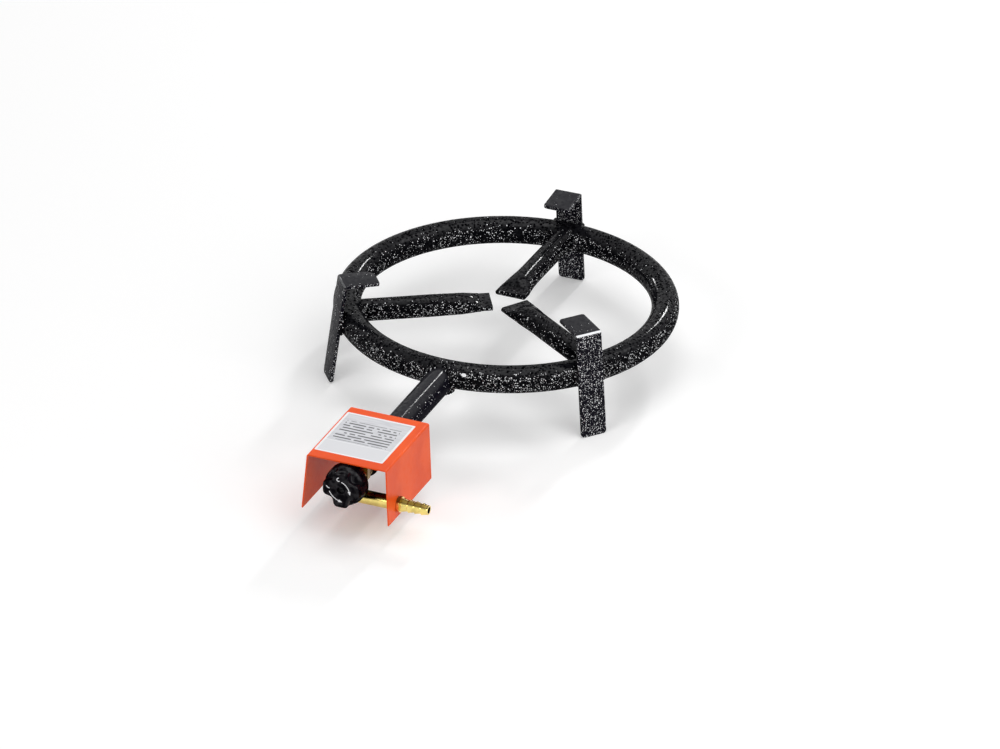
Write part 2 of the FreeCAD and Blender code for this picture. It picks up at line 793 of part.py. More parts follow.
def hose_tail():
    collar_front = pipe_right + tail_collar
    tip = pipe_right + tail_length
    core_root = tail_root_d / 2 - tail_ridge
    core_tip = tail_tip_d / 2
    ridge_run = tip - tail_tip_land - collar_front
    outline = [
        (tail_bore_d / 2, pipe_right - tail_shank),
        (pipe_bore_d / 2, pipe_right - tail_shank),
        (pipe_bore_d / 2, pipe_right),
        (tail_collar_d / 2, pipe_right),
        (tail_collar_d / 2, collar_front),
    ]
    for index in range(tail_ridges):
        share = index / tail_ridges
        next_share = (index + 1) / tail_ridges
        core = core_root + (core_tip - core_root) * share
        next_core = core_root + (core_tip - core_root) * next_share
        foot = collar_front + ridge_run * share
        crest = foot + ridge_run / tail_ridges * tail_crest_share
        outline += [
            (core, foot),
            (core, crest),
            (core + tail_ridge, crest),
            (next_core, collar_front + ridge_run * next_share),
        ]
    outline += [(core_tip, tip), (tail_bore_d / 2, tip)]
    return on_pipe_axis(turned(outline))


pieces = {
    "burner_ring": burner_ring,
    "supply_tube": supply_tube,
    "supply_weld": supply_weld,
    "valve_bracket": valve_bracket,
    "bracket_weld": bracket_weld,
    "valve_cover": valve_cover,
    "cover_studs": cover_studs,
    "cover_nuts": cover_nuts,
    "rating_label": rating_label,
    "valve_body": valve_body,
    "locknut": locknut,
    "injector": injector,
    "bonnet": bonnet,
    "stem_seal": stem_seal,
    "needle_stem": needle_stem,
    "control_knob": control_knob,
    "knob_screw": knob_screw,
    "inlet_pipe": inlet_pipe,
    "pipe_plug": pipe_plug,
    "inlet_braze": inlet_braze,
    "hose_tail": hose_tail,
}

os.makedirs("parts", exist_ok=True)
shapes = {name: make() for name, make in pieces.items()}
for side in arm_angle:
    shapes["burner_arm_" + side] = burner_arm(side)
    shapes["arm_weld_" + side] = arm_weld(side)
for side in leg_angle:
    shapes["pan_leg_" + side] = pan_leg(side)
    shapes["leg_weld_" + side] = leg_weld(side)
print(f"stem travel {stem_travel} mm over {turns_to_open * full_turn} degrees of the knob")
for name, shape in shapes.items():
    box = shape.BoundBox
    solids = len(shape.Solids)
    print(f"{name:18s} solids {solids} valid {shape.isValid()} volume {shape.Volume:9.1f}"
          f" x {box.XMin:7.1f} {box.XMax:7.1f} y {box.YMin:7.1f} {box.YMax:7.1f} z {box.ZMin:6.1f} {box.ZMax:6.1f}")
    shape.exportStep("parts/" + name + ".step")
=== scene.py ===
import json
import math

import bmesh
import bpy
import numpy as np
from mathutils import Matrix, Vector


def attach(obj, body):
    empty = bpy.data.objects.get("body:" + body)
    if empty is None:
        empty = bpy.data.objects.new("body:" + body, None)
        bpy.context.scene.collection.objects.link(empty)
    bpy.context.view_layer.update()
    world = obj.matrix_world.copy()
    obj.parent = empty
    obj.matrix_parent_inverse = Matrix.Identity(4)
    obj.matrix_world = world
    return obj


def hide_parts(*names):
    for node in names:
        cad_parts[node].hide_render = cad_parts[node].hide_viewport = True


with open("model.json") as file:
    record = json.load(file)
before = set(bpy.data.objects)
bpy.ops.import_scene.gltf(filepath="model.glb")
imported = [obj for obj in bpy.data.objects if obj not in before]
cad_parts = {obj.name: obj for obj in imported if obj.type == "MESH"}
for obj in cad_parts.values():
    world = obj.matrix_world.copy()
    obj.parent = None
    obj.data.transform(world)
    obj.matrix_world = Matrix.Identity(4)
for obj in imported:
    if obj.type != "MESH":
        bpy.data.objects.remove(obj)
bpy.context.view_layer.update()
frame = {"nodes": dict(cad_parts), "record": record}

# Dressing of a ring gas burner: speckled black enamel, orange sheet cover, brass pipe, black knob.
# Everything is in metres, with the floor at z = 0 and the ring's axis on Z.

nodes = frame["nodes"]


class Tap:
    # One shader socket. Arithmetic on it adds the Math nodes that work it out.
    def __init__(self, recipe, socket):
        self.recipe = recipe
        self.socket = socket

    def output(self, name):      # another output of the same node
        return Tap(self.recipe, self.socket.node.outputs[name])

    def maths(self, operation, *terms):
        return self.recipe.add("ShaderNodeMath", {"operation": operation}, dict(enumerate(terms)))

    def __add__(self, other):
        return self.maths("ADD", self, other)

    def __radd__(self, other):
        return self.maths("ADD", other, self)

    def __sub__(self, other):
        return self.maths("SUBTRACT", self, other)

    def __rsub__(self, other):
        return self.maths("SUBTRACT", other, self)

    def __mul__(self, other):
        return self.maths("MULTIPLY", self, other)

    def __rmul__(self, other):
        return self.maths("MULTIPLY", other, self)

    def __truediv__(self, other):
        return self.maths("DIVIDE", self, other)

    def __rtruediv__(self, other):
        return self.maths("DIVIDE", other, self)

    def __pow__(self, other):
        return self.maths("POWER", self, other)

    def __rpow__(self, other):
        return self.maths("POWER", other, self)

    def __neg__(self):
        return self.maths("MULTIPLY", self, -1.0)

    def __abs__(self):
        return self.maths("ABSOLUTE", self)

    def __lt__(self, other):
        return self.maths("LESS_THAN", self, other)

    def __gt__(self, other):
        return self.maths("GREATER_THAN", self, other)

    def least(self, other):
        return self.maths("MINIMUM", self, other)

    def most(self, other):
        return self.maths("MAXIMUM", self, other)

    def floor(self):
        return self.maths("FLOOR", self)

    def sine(self):
        return self.maths("SINE", self)

    def rise(self, low, high):      # 0 below low, 1 above high, an S curve between
        return self.recipe.add(
            "ShaderNodeMapRange", {"interpolation_type": "SMOOTHSTEP"},
            {"Value": self, "From Min": low, "From Max": high},
        )


class Recipe:
    # The nodes of a material or of the world: add() makes any node, paint() feeds the shader,
    # whose sockets have these short names.
    words = {
        "base": "Base Color", "metallic": "Metallic", "roughness": "Roughness", "normal": "Normal",
        "specular": "Specular IOR Level", "coat": "Coat Weight", "coatRoughness": "Coat Roughness",
    }

    def __init__(self, owner):
        owner.use_nodes = True
        self.owner = owner
        self.tree = owner.node_tree

    def feed(self, node, inputs):
        for name, value in inputs.items():
            if isinstance(value, Tap):
                self.tree.links.new(value.socket, node.inputs[name])
            else:
                node.inputs[name].default_value = value

    def add(self, kind, settings=None, inputs=None, output=0):
        node = self.tree.nodes.new(kind)
        for name, value in (settings or {}).items():
            setattr(node, name, value)
        self.feed(node, inputs or {})
        return Tap(self, node.outputs[output])

    def place(self):
        return self.add("ShaderNodeTexCoord", output="Object")

    def facing(self):      # the surface's own direction, fixed to the object
        return self.add("ShaderNodeTexCoord", output="Normal")

    def seen(self):      # 1 for what the camera sees, straight, mirrored or through glass
        ray = self.add("ShaderNodeLightPath", output="Is Camera Ray")
        return ray.most(ray.output("Is Glossy Ray")).most(ray.output("Is Transmission Ray"))

    def axes(self, vector):
        split = self.add("ShaderNodeSeparateXYZ", inputs={"Vector": vector})
        return [split.output(name) for name in "XYZ"]

    def shifted(self, vector, offset):
        return self.add("ShaderNodeVectorMath", {"operation": "ADD"}, {0: vector, 1: offset})

    def stretched(self, vector, factors):
        return self.add("ShaderNodeVectorMath", {"operation": "MULTIPLY"}, {0: vector, 1: factors})

    def length(self, vector):
        return self.add("ShaderNodeVectorMath", {"operation": "LENGTH"}, {0: vector}, "Value")

    def noise(self, vector, size, detail=2.0, roughness=0.5):
        return self.add(
            "ShaderNodeTexNoise", {"noise_dimensions": "3D"},
            {"Vector": vector, "Scale": 1.0 / size, "Detail": detail, "Roughness": roughness},
        )

    def blend(self, share, first, second):      # the first colour at 0, the second at 1
        return self.add("ShaderNodeMix", {"data_type": "RGBA"}, {0: share, 6: first, 7: second}, 2)

    def bump(self, height, distance):
        return self.add("ShaderNodeBump", None, {"Height": height, "Distance": distance, "Strength": 1.0})

    def paint(self, **inputs):
        shader = self.tree.nodes["Principled BSDF"]
        self.feed(shader, {self.words[name]: value for name, value in inputs.items()})
        return self.owner


def newMaterial(name):
    return Recipe(bpy.data.materials.new(name))


def dots(recipe, vector, cell, biggest, share, soft):
    # Round specks: each cell draws a number, and the speck at its point has the radius
    # biggest * sqrt(1 - (1 - number) / share), so a share of the cells has one at all.
    points = recipe.add(
        "ShaderNodeTexVoronoi", {"voronoi_dimensions": "3D", "feature": "F1"},
        {"Vector": vector, "Scale": 1.0 / cell}, "Distance",
    )
    number = recipe.axes(points.output("Color"))[0]
    radius = (1.0 - (1.0 - number) / share).most(0.0) ** 0.5 * biggest
    return (radius - points * cell).rise(-soft, soft)


# Enamel: black glaze with white specks; on the faces that look up or away, a grey ground and fewer specks
# are painted sheen.
# A band is the pair of values between which something sets in.
enamel = {
    "black": (0.0014, 0.0014, 0.0022, 1),
    "violet": (0.0062, 0.0055, 0.0105, 1),
    "mottle": (0.007, 0.007, 0.009, 1), "mottleSize": 0.0016, "mottleBand": (0.40, 0.72),
    # grey of the painted sheen on the faces that look up or away
    "dusty": (0.022, 0.022, 0.026, 1),
    "speck": (0.95, 0.96, 0.98, 1),
    # cell, biggest radius, share of the cells that have a speck, brightness
    "sprays": [
        (0.0019, 0.00072, 0.80, 1.0),
        (0.0011, 0.00038, 0.65, 0.9),
    ],
    "sprayStep": (0.37, 0.11, 0.23), "leastShare": 0.001, "softEdge": 0.00003,
    "wobble": 0.00008, "wobbleSize": 0.0009,
    "patchSize": 0.012, "patchBand": (0.36, 0.60),
    "browWidth": 0.40, "topShare": 0.03,
    "awayBand": (0.35, 0.75), "awayShare": 0.05,
    "ringMiddle": 0.115, "shelterBand": (0.0, 0.6),
    "pitCell": 0.0020, "pitRadius": 0.00108, "pitShare": 1.0, "pitStep": (0.51, 0.23, 0.74),
    "specular": 0.0,
    "roughness": 0.13, "speckRoughness": 0.28, "mottleRoughness": 0.10,
    "thinGlaze": 0.16, "thickGlaze": 0.45, "glazeSize": 0.0022, "glazeBand": (0.32, 0.68),
    "sideGlaze": 0.20, "awayGlaze": 0.7, "glazeRoughness": 0.10,
    "ripple": 0.00008, "rippleSize": 0.006, "speckHeight": 0.35,
    "raggedSize": 0.0015, "ragged": 0.08,
    "bendStart": (0.28, 0.36), "bendEnd": (0.94, 0.985), "bendOutside": (0.16, 0.24),
    "drop": (0.0184, -0.1219, 0.0489), "dropShape": (0.58, 1.0, 1.0),
    "dropRadius": 0.0011, "dropWobble": 0.0009, "dropMean": 0.4,
}
coating = {
    "density": 0.76,        # how many of the specks landed
    "grain": 0.64,          # their size
    "evenness": 0.50,       # 1 where no patch has fewer of them
    "ground": "black",      # colour between the specks
    # how much painted sheen greys the faces that look up or away
    "dust": 0.20,           # how grey the faces are that look up or away
    "brow": 0.45,           # how level a face is that begins to look up
    "pitting": 1.0,         # how dull the pits between the specks are
    "shelter": 0.0,         # share of the specks that the ring's inner side lacks
    # a painted highlight along a leg's bend
    "thinBend": None,       # outward x and y of a leg, strength of the pale line on its bend
}


def enamelMaterial(name, **changes):
    e = enamel
    c = {**coating, **changes}
    r = newMaterial(name)
    place = r.place()
    cloudy = r.noise(place, e["wobbleSize"]).output("Color")
    bent = r.shifted(place, r.stretched(r.shifted(cloudy, (-0.5, -0.5, -0.5)), (e["wobble"],) * 3))
    across, along, up = r.axes(r.facing())
    above = up.rise(c["brow"], c["brow"] + e["browWidth"])
    away = (-across).rise(*e["awayBand"]) * (1.0 - above)
    # fewer specks on the faces that look up or away: painted sheen, which hides them there
    spray = (1.0 - above * (1.0 - e["topShare"])) * (1.0 - away * (1.0 - e["awayShare"])) * c["density"]
    if c["shelter"]:
        # fewer specks on the ring's inner side, which the outer side shelters from the spray
        x, y = r.axes(place)[:2]
        inwards = (x * across + y * along) * (-1.0 / e["ringMiddle"])
        spray = spray * (1.0 - inwards.rise(*e["shelterBand"]) * c["shelter"])
    patch = r.noise(place, e["patchSize"], detail=3.0).rise(*e["patchBand"])
    wet = spray * (c["evenness"] + (1.0 - c["evenness"]) * patch)
    specks = 0.0
    for index, (cell, biggest, share, bright) in enumerate(e["sprays"]):
        there = r.shifted(bent, [step * index for step in e["sprayStep"]])
        landed = wet * share + e["leastShare"]
        layer = dots(r, there, cell * c["grain"], biggest * c["grain"], landed, e["softEdge"])
        specks = (layer * bright).most(specks)
    cloud = r.noise(place, e["mottleSize"], detail=3.0, roughness=0.7).rise(*e["mottleBand"])
    there = r.shifted(bent, e["pitStep"])
    pits = dots(r, there, e["pitCell"], e["pitRadius"], e["pitShare"], e["softEdge"])
    unpitted = 1.0 - pits * c["pitting"]
    ground = r.blend(cloud * unpitted, e[c["ground"]], e["mottle"])
    # painted sheen: the faces that look up or away are greyed, except in the pits
    base = r.blend((above + away).least(1.0) * c["dust"] * unpitted, ground, e["dusty"])
    if c["thinBend"]:
        # a pale line is painted along a leg's bend: a painted highlight on the bent edge
        outX, outY, strength = c["thinBend"]
        height = up + r.noise(place, e["raggedSize"]) * e["ragged"]
        outside = (across * outX + along * outY).rise(*e["bendOutside"])
        paintedBendLine = height.rise(*e["bendStart"]) * (1.0 - height.rise(*e["bendEnd"])) * outside
        specks = specks.most(paintedBendLine * strength)
    # one drop of white glaze on the ring's front, beside the supply tube
    toDrop = r.length(r.stretched(r.shifted(bent, [-v for v in e["drop"]]), e["dropShape"]))
    dropSize = e["dropRadius"] + (r.noise(place, e["wobbleSize"]) - e["dropMean"]) * e["dropWobble"]
    specks = specks.most((dropSize - toDrop).rise(-e["softEdge"], e["softEdge"]))
    flow = r.noise(place, e["glazeSize"], detail=3.0, roughness=0.6).rise(*e["glazeBand"])
    glaze = e["thinGlaze"] + (e["thickGlaze"] - e["thinGlaze"]) * flow
    glaze = glaze * (e["sideGlaze"] + (1.0 - e["sideGlaze"]) * (above + away * e["awayGlaze"]))
    speckled = (e["speckRoughness"] - e["roughness"]) * specks
    skin = r.noise(place, e["rippleSize"]) + specks * e["speckHeight"]
    return r.paint(
        base=r.blend(specks, base, e["speck"]),
        roughness=e["roughness"] + speckled + cloud * e["mottleRoughness"],
        specular=e["specular"],
        coat=glaze * unpitted,
        coatRoughness=e["glazeRoughness"],
        normal=r.bump(skin, e["ripple"]),
    )


# Orange powder coat on thin sheet
orange = {
    "colour": (0.94, 0.108, 0.013, 1),
    "deep": (0.82, 0.078, 0.010, 1), "deepShare": 0.8,
    "cloudSize": 0.03, "cloudBand": (0.35, 0.65),
    "rubSize": 0.004, "rubBand": (0.45, 0.75), "rubRoughness": 0.08,
    "roughness": 0.32, "specular": 0.14,
    "peel": 0.00005, "peelSize": 0.0016,
}


def orangeMaterial():
    o = orange
    r = newMaterial("orangePaint")
    place = r.place()
    cloud = r.noise(place, o["cloudSize"], detail=3.0).rise(*o["cloudBand"])
    peel = r.noise(place, o["peelSize"], detail=1.0)
    rub = r.noise(place, o["rubSize"], detail=4.0).rise(*o["rubBand"])
    return r.paint(
        base=r.blend(cloud * o["deepShare"], o["colour"], o["deep"]),
        roughness=o["roughness"] + rub * o["rubRoughness"],
        specular=o["specular"],
        normal=r.bump(peel, o["peel"]),
    )


# Turned brass, with the cutter's fine rings round the pipe's axis
brass = {
    "bright": (0.88, 0.70, 0.22, 1),
    # a darker copy of the brass for the valve's parts under the cover: painted shade
    "shaded": (0.30, 0.20, 0.055, 1),
    "dull": (0.105, 0.066, 0.013, 1),
    "dark": (0.02, 0.014, 0.006, 1),
    "stainSize": 0.007, "stainBand": (0.42, 0.70), "stainShare": 0.3,
    # faces that look up: where the painted dark reflection sets in, and how strong it is
    "topBand": (0.30, 0.75), "topShare": 0.75, "topDrift": 0.5,
    "roughness": 0.13, "roughBand": (0.4, 0.8), "stainRoughness": 0.18,
    "ringPitch": 0.00035, "ringDepth": 0.000006,
    "pipeHeight": 0.0229, "pipeReach": -0.2697, "bore": 0.00235, "boreEdge": 0.0002,
}


def brassMaterial(name, alongX, bright="bright"):
    b = brass
    r = newMaterial(name)
    place = r.place()
    x, y, z = r.axes(place)
    stain = r.noise(place, b["stainSize"], detail=4.0)
    turning = ((x if alongX else y) * (2 * math.pi / b["ringPitch"])).sine()
    # faces that look up are painted darker, a painted reflection of dark surroundings, on top of the real
    # stains
    paintedDarkTop = r.axes(r.facing())[2].rise(*b["topBand"]) * (b["topShare"] + b["topDrift"] * stain)
    stainsAndDarkTop = (stain.rise(*b["stainBand"]) * b["stainShare"]).most(paintedDarkTop)
    base = r.blend(stainsAndDarkTop, b[bright], b["dull"])
    if alongX:
        # the bore of the hose tail is dark inside
        high, back = z - b["pipeHeight"], y - b["pipeReach"]
        outside = (high * high + back * back).rise(b["bore"] ** 2, (b["bore"] + b["boreEdge"]) ** 2)
        base = r.blend(1.0 - outside, base, b["dark"])
    return r.paint(
        base=base,
        roughness=b["roughness"] + stain.rise(*b["roughBand"]) * b["stainRoughness"],
        metallic=1.0,
        normal=r.bump(turning, b["ringDepth"]),
    )


# Zinc plate on the small steel parts
zinc = {
    "pale": (0.66, 0.66, 0.64, 1), "dark": (0.42, 0.42, 0.40, 1),
    "grainSize": 0.0009, "grainBand": (0.35, 0.7), "grainDepth": 0.00001,
    "roughness": 0.3, "grainRoughness": 0.15,
}


def zincMaterial():
    r = newMaterial("zincPlate")
    grain = r.noise(r.place(), zinc["grainSize"], detail=3.0)
    return r.paint(
        base=r.blend(grain.rise(*zinc["grainBand"]), zinc["pale"], zinc["dark"]),
        roughness=zinc["roughness"] + grain * zinc["grainRoughness"],
        metallic=1.0,
        normal=r.bump(grain, zinc["grainDepth"]),
    )


# Black oxide on the knob's screw
oxide = {
    "dark": (0.018, 0.018, 0.02, 1), "worn": (0.09, 0.09, 0.09, 1), "wornShare": 0.6,
    "grainSize": 0.0012, "wornBand": (0.55, 0.8), "grainDepth": 0.00001,
    "roughness": 0.34, "wornRoughness": 0.12, "metallic": 0.8,
}


def blackSteelMaterial():
    r = newMaterial("blackOxide")
    grain = r.noise(r.place(), oxide["grainSize"], detail=3.0)
    worn = grain.rise(*oxide["wornBand"])
    return r.paint(
        base=r.blend(worn * oxide["wornShare"], oxide["dark"], oxide["worn"]),
        roughness=oxide["roughness"] + worn * oxide["wornRoughness"],
        metallic=oxide["metallic"],
        normal=r.bump(grain, oxide["grainDepth"]),
    )


# Moulded black plastic of the knob, with a patchy shine
moulding = {
    "black": (0.0020, 0.0015, 0.0028, 1), "dust": (0.010, 0.008, 0.012, 1), "dustShare": 0.5,
    "roughness": 0.05, "hazeRoughness": 0.12, "specular": 0.0,
    "hazeSize": 0.0042, "hazeBand": (0.40, 0.62), "thinShine": 0.04, "thickShine": 0.38,
    "waveSize": 0.004, "waveDepth": 0.00004,
}


def mouldedMaterial():
    m = moulding
    r = newMaterial("mouldedBlack")
    place = r.place()
    haze = r.noise(place, m["hazeSize"], detail=3.0).rise(*m["hazeBand"])
    return r.paint(
        base=r.blend(haze * m["dustShare"], m["black"], m["dust"]),
        roughness=m["roughness"] + haze * m["hazeRoughness"],
        specular=m["specular"],
        coat=m["thinShine"] + (m["thickShine"] - m["thinShine"]) * haze,
        coatRoughness=m["roughness"],
        normal=r.bump(r.noise(place, m["waveSize"], detail=1.0), m["waveDepth"]),
    )


# Black rubber of the stem seal
rubber = {
    "black": (0.012, 0.012, 0.012, 1), "grey": (0.03, 0.03, 0.03, 1),
    "grainSize": 0.0004, "grainDepth": 0.00002, "roughness": 0.55, "grainRoughness": 0.2,
}


def rubberMaterial():
    r = newMaterial("sealRubber")
    grain = r.noise(r.place(), rubber["grainSize"])
    return r.paint(
        base=r.blend(grain, rubber["black"], rubber["grey"]),
        roughness=rubber["roughness"] + grain * rubber["grainRoughness"],
        normal=r.bump(grain, rubber["grainDepth"]),
    )


# Satin silver-white foil label with plain grey strokes
foil = {
    "silver": (0.60, 0.605, 0.64, 1),
    "white": (0.90, 0.905, 0.92, 1),
    "ink": (0.06, 0.06, 0.07, 1),
    "left": -0.0286, "right": 0.0234, "back": -0.2198, "front": -0.2788,
    "border": 0.0016, "borderEdge": 0.0002,
    "divide": -0.2613, "divideBand": (0.00022, 0.00042), "lowerWhite": 0.45,
    "sheenSize": 0.01, "sheenShape": (1.0, 6.0, 1.0), "sheenBand": (0.3, 0.7), "sheenWhite": 0.35,
    "sheenDepth": 0.00001, "roughness": 0.36, "sheenRoughness": 0.12, "specular": 0.5,
    # strokes: rows, lengths, share left blank, and the margins to the label's sides and the dividing line
    "pitch": 0.0036, "strokeBand": (0.14, 0.24), "stroke": 0.0021, "blankShare": 0.22,
    "leftMargin": 0.0045, "rightMargin": 0.006, "frontMargin": 0.002, "backMargin": 0.011,
}


def labelMaterial():
    f = foil
    r = newMaterial("labelFoil")
    place = r.place()
    x, y = r.axes(place)[:2]
    toEdge = (x - f["left"]).least(f["right"] - x).least(y - f["front"]).least(f["back"] - y)
    rim = 1.0 - toEdge.rise(f["border"] - f["borderEdge"], f["border"] + f["borderEdge"])
    dividing = 1.0 - abs(y - f["divide"]).rise(*f["divideBand"])
    sheen = r.noise(r.stretched(place, f["sheenShape"]), f["sheenSize"], detail=3.0)
    pale = (sheen.rise(*f["sheenBand"]) * f["sheenWhite"]).most((y < f["divide"]) * f["lowerWhite"])
    bare = r.blend(rim.most(dividing), r.blend(pale, f["silver"], f["white"]), f["white"])
    return r.paint(
        base=r.blend(inkRows(r, x, y), bare, f["ink"]),
        roughness=f["roughness"] + sheen * f["sheenRoughness"],
        specular=f["specular"],
        normal=r.bump(sheen, f["sheenDepth"]),
    )


def inkRows(r, x, y):
    # Rows of short grey strokes, some of them left out, inside the label's margins
    f = foil
    rows = (y - f["divide"]) / f["pitch"]
    row = rows.floor()
    strokes = 1.0 - abs(rows - row - 0.5).rise(*f["strokeBand"])
    cell = r.add("ShaderNodeCombineXYZ", None, {"X": (x / f["stroke"]).floor(), "Y": row})
    chance = r.add("ShaderNodeTexWhiteNoise", {"noise_dimensions": "2D"}, {"Vector": cell}, "Value")
    insideWidth = (x > f["left"] + f["leftMargin"]) * (x < f["right"] - f["rightMargin"])
    insideLength = (y > f["divide"] + f["frontMargin"]) * (y < f["back"] - f["backMargin"])
    return strokes * (chance > f["blankShare"]) * insideWidth * insideLength


materials = {
    "speckled_enamel": enamelMaterial("speckledEnamel", shelter=0.32),
    "orange_paint": orangeMaterial(),
    # the valve's parts under the cover get the darker brass: painted shade
    "brass": brassMaterial("shadedBrass", alongX=False, bright="shaded"),
    "zinc_steel": zincMaterial(),
    "black_steel": blackSteelMaterial(),
    "knob_plastic": mouldedMaterial(),
    "seal_rubber": rubberMaterial(),
    "label_foil": labelMaterial(),
}
pipeBrass = brassMaterial("pipeBrass", alongX=True)
tubeEnamel = enamelMaterial(
    "tubeEnamel", density=0.24, grain=0.7, dust=0.8, ground="violet", pitting=0.3,
)


def dress(name, material):
    mesh = nodes[name].data
    mesh.materials.clear()
    mesh.materials.append(material)


slotOf = {part["node"]: part["material_slot"] for part in frame["record"]["subparts"]}
for name in nodes:
    dress(name, materials[slotOf[name]])
for name in ("inlet_pipe", "hose_tail", "pipe_plug"):
    dress(name, pipeBrass)
dress("supply_tube", tubeEnamel)
print("materials on", len(nodes), "nodes")


mergeGap = 1e-7     # points closer than this are one


def gridFaces(rows, columns, rowsClosed=False, columnsClosed=False, first=0):
    # Quads of a rows-by-columns grid of points, joined end to start where a direction is closed
    row = np.arange(rows if rowsClosed else rows - 1)
    column = np.arange(columns if columnsClosed else columns - 1)
    r0, c0 = np.meshgrid(row, column, indexing="ij")
    r1, c1 = (r0 + 1) % rows, (c0 + 1) % columns
    quads = np.stack([r0 * columns + c0, r0 * columns + c1, r1 * columns + c1, r1 * columns + c0], axis=-1)
    return (quads.reshape(-1, 4) + first).tolist()


def meshPiece(name, points, faces, material, body, edgeAngle=None):
    mesh = bpy.data.meshes.new(name)
    mesh.from_pydata(points.reshape(-1, 3).tolist(), [], faces)
    work = bmesh.new()
    work.from_mesh(mesh)
    bmesh.ops.remove_doubles(work, verts=work.verts, dist=mergeGap)
    bmesh.ops.recalc_face_normals(work, faces=work.faces)
    work.to_mesh(mesh)
    work.free()
    mesh.materials.append(material)
    mesh.polygons.foreach_set("use_smooth", [edgeAngle is not None] * len(mesh.polygons))
    if edgeAngle is not None:
        mesh.set_sharp_from_angle(angle=math.radians(edgeAngle))
    piece = bpy.data.objects.new(name, mesh)
    bpy.context.scene.collection.objects.link(piece)
    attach(piece, body)
    return piece


# Knob: four broad lobes that rise out of a domed round skirt, hollow at the back
knob = {
    "axisHeight": 0.0405, "back": 0.283, "depth": 0.0155,
    "lobeReach": 0.0137, "lobeHalf": 0.0060, "waist": 0.0097, "squareness": 5.0, "valley": 12.0,
    "draft": 0.0004, "edgeRadius": 0.0015,
    "rim": 0.0150, "rimChamfer": 0.0008, "rimEnd": 0.0058, "domeEnd": 0.0125, "domePower": 0.8, "join": 18,
    "recess": 0.0027, "recessDepth": 0.0041, "recessChamfer": 0.0003, "bore": 0.00155,
    "hollow": 0.0085, "hollowDepth": 0.0080, "hub": 0.0052, "socket": 0.00305, "socketDepth": 0.0094,
    "columns": 240, "faceRows": (0.35, 0.6, 0.8, 0.93), "edgeRows": 8, "sideRows": 34, "edgeAngle": 40,
}


def lobeRadius(angle):
    # Four bars in a cross, each a rounded block: bar(a) = ((cos a / reach)^p + (sin a / half)^p)^(-1/p),
    # and between them a round waist: r = (bar^q + waist^q)^(1/q)
    k = knob
    turn = np.abs((angle + math.pi / 4) % (math.pi / 2) - math.pi / 4)
    p, q = k["squareness"], k["valley"]
    bar = ((np.cos(turn) / k["lobeReach"]) ** p + (np.sin(turn) / k["lobeHalf"]) ** p) ** (-1 / p)
    return (bar ** q + k["waist"] ** q) ** (1 / q)


def skirtRadius(depth):
    # Quarter ellipse from the rim to nothing at the dome's end, a little fuller than round
    k = knob
    t = np.clip((depth - k["rimEnd"]) / (k["domeEnd"] - k["rimEnd"]), 0.0, 1.0)
    return k["rim"] * np.sqrt(1 - t ** 2) ** k["domePower"]


def knobSurface():
    # Rows of (radius at each angle, depth), from the screw's bore over face, sides and rim to the
    # hollow back: point = (radius * cos a, -(back + depth), axis height + radius * sin a)
    k = knob
    angle = np.linspace(0.0, 2 * math.pi, k["columns"], endpoint=False)
    lobe = lobeRadius(angle)
    depth, edge = k["depth"], k["edgeRadius"]
    rows = []

    def ringRow(radius, at):
        rows.append((np.full_like(angle, radius), at))

    mouth = k["recess"] + k["recessChamfer"]
    ringRow(k["bore"], depth - k["recessDepth"])
    ringRow(k["recess"], depth - k["recessDepth"])
    ringRow(k["recess"], depth - k["recessChamfer"])
    ringRow(mouth, depth)
    for share in k["faceRows"]:
        rows.append((mouth + (lobe - edge - mouth) * share, depth))
    for turn in np.linspace(0.0, math.pi / 2, k["edgeRows"]):
        rows.append((lobe - edge * (1 - math.sin(turn)), depth - edge * (1 - math.cos(turn))))
    for at in np.linspace(depth - edge, k["rimChamfer"], k["sideRows"])[1:]:
        side = lobe + k["draft"] * (depth - at) / depth
        rows.append(((side ** k["join"] + skirtRadius(at) ** k["join"]) ** (1 / k["join"]), at))
    ringRow(k["rim"] - k["rimChamfer"], 0.0)
    ringRow(k["hollow"], 0.0)
    ringRow(k["hollow"], k["hollowDepth"])
    ringRow(k["hub"], k["hollowDepth"])
    ringRow(k["hub"], 0.0)
    ringRow(k["socket"], 0.0)
    ringRow(k["socket"], k["socketDepth"])
    ringRow(k["bore"], k["socketDepth"])
    radii = np.array([radius for radius, at in rows])
    back = np.array([[k["back"] + at] for radius, at in rows])
    return np.stack([
        radii * np.cos(angle),
        -back + 0 * radii,
        k["axisHeight"] + radii * np.sin(angle)], axis=-1)


def knobGrip():
    points = knobSurface()
    piece = meshPiece(
        "knobGrip", points, gridFaces(len(points), knob["columns"], rowsClosed=True, columnsClosed=True),
        materials["knob_plastic"], "valve_stem", edgeAngle=knob["edgeAngle"],
    )
    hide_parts("control_knob")
    print("knob", len(piece.data.polygons), "faces")


knobGrip()


# Two curved arrows and two small marks printed in white on the knob's face, in its own plane
marks = {
    "white": (0.80, 0.80, 0.82, 1), "rubbed": (0.40, 0.40, 0.42, 1), "rubbedShare": 0.5,
    "grainSize": 0.0012, "rubbedBand": (0.55, 0.8), "roughness": 0.35, "rubbedRoughness": 0.2,
    "lift": 0.00006, "width": 0.00064, "stations": 25,
    "headWidth": 0.0022, "headLength": 0.0027, "headEnd": 0.0002, "headStations": 6,
    "arrows": [
        [(0.0009, 0.0071), (0.0038, 0.0062), (0.0060, 0.0038), (0.0068, 0.0008)],
        [(-0.0082, -0.0017), (-0.0068, -0.0049), (-0.0036, -0.0073), (-0.0012, -0.0079)],
    ],
    "strokes": [
        [(-0.0010, 0.0101), (-0.0034, 0.0098), (-0.0026, 0.0065), (-0.0005, 0.0078)],
        [(-0.0107, 0.0020), (-0.0096, 0.0018), (-0.0094, 0.0004), (-0.0081, 0.0008)],
    ],
}


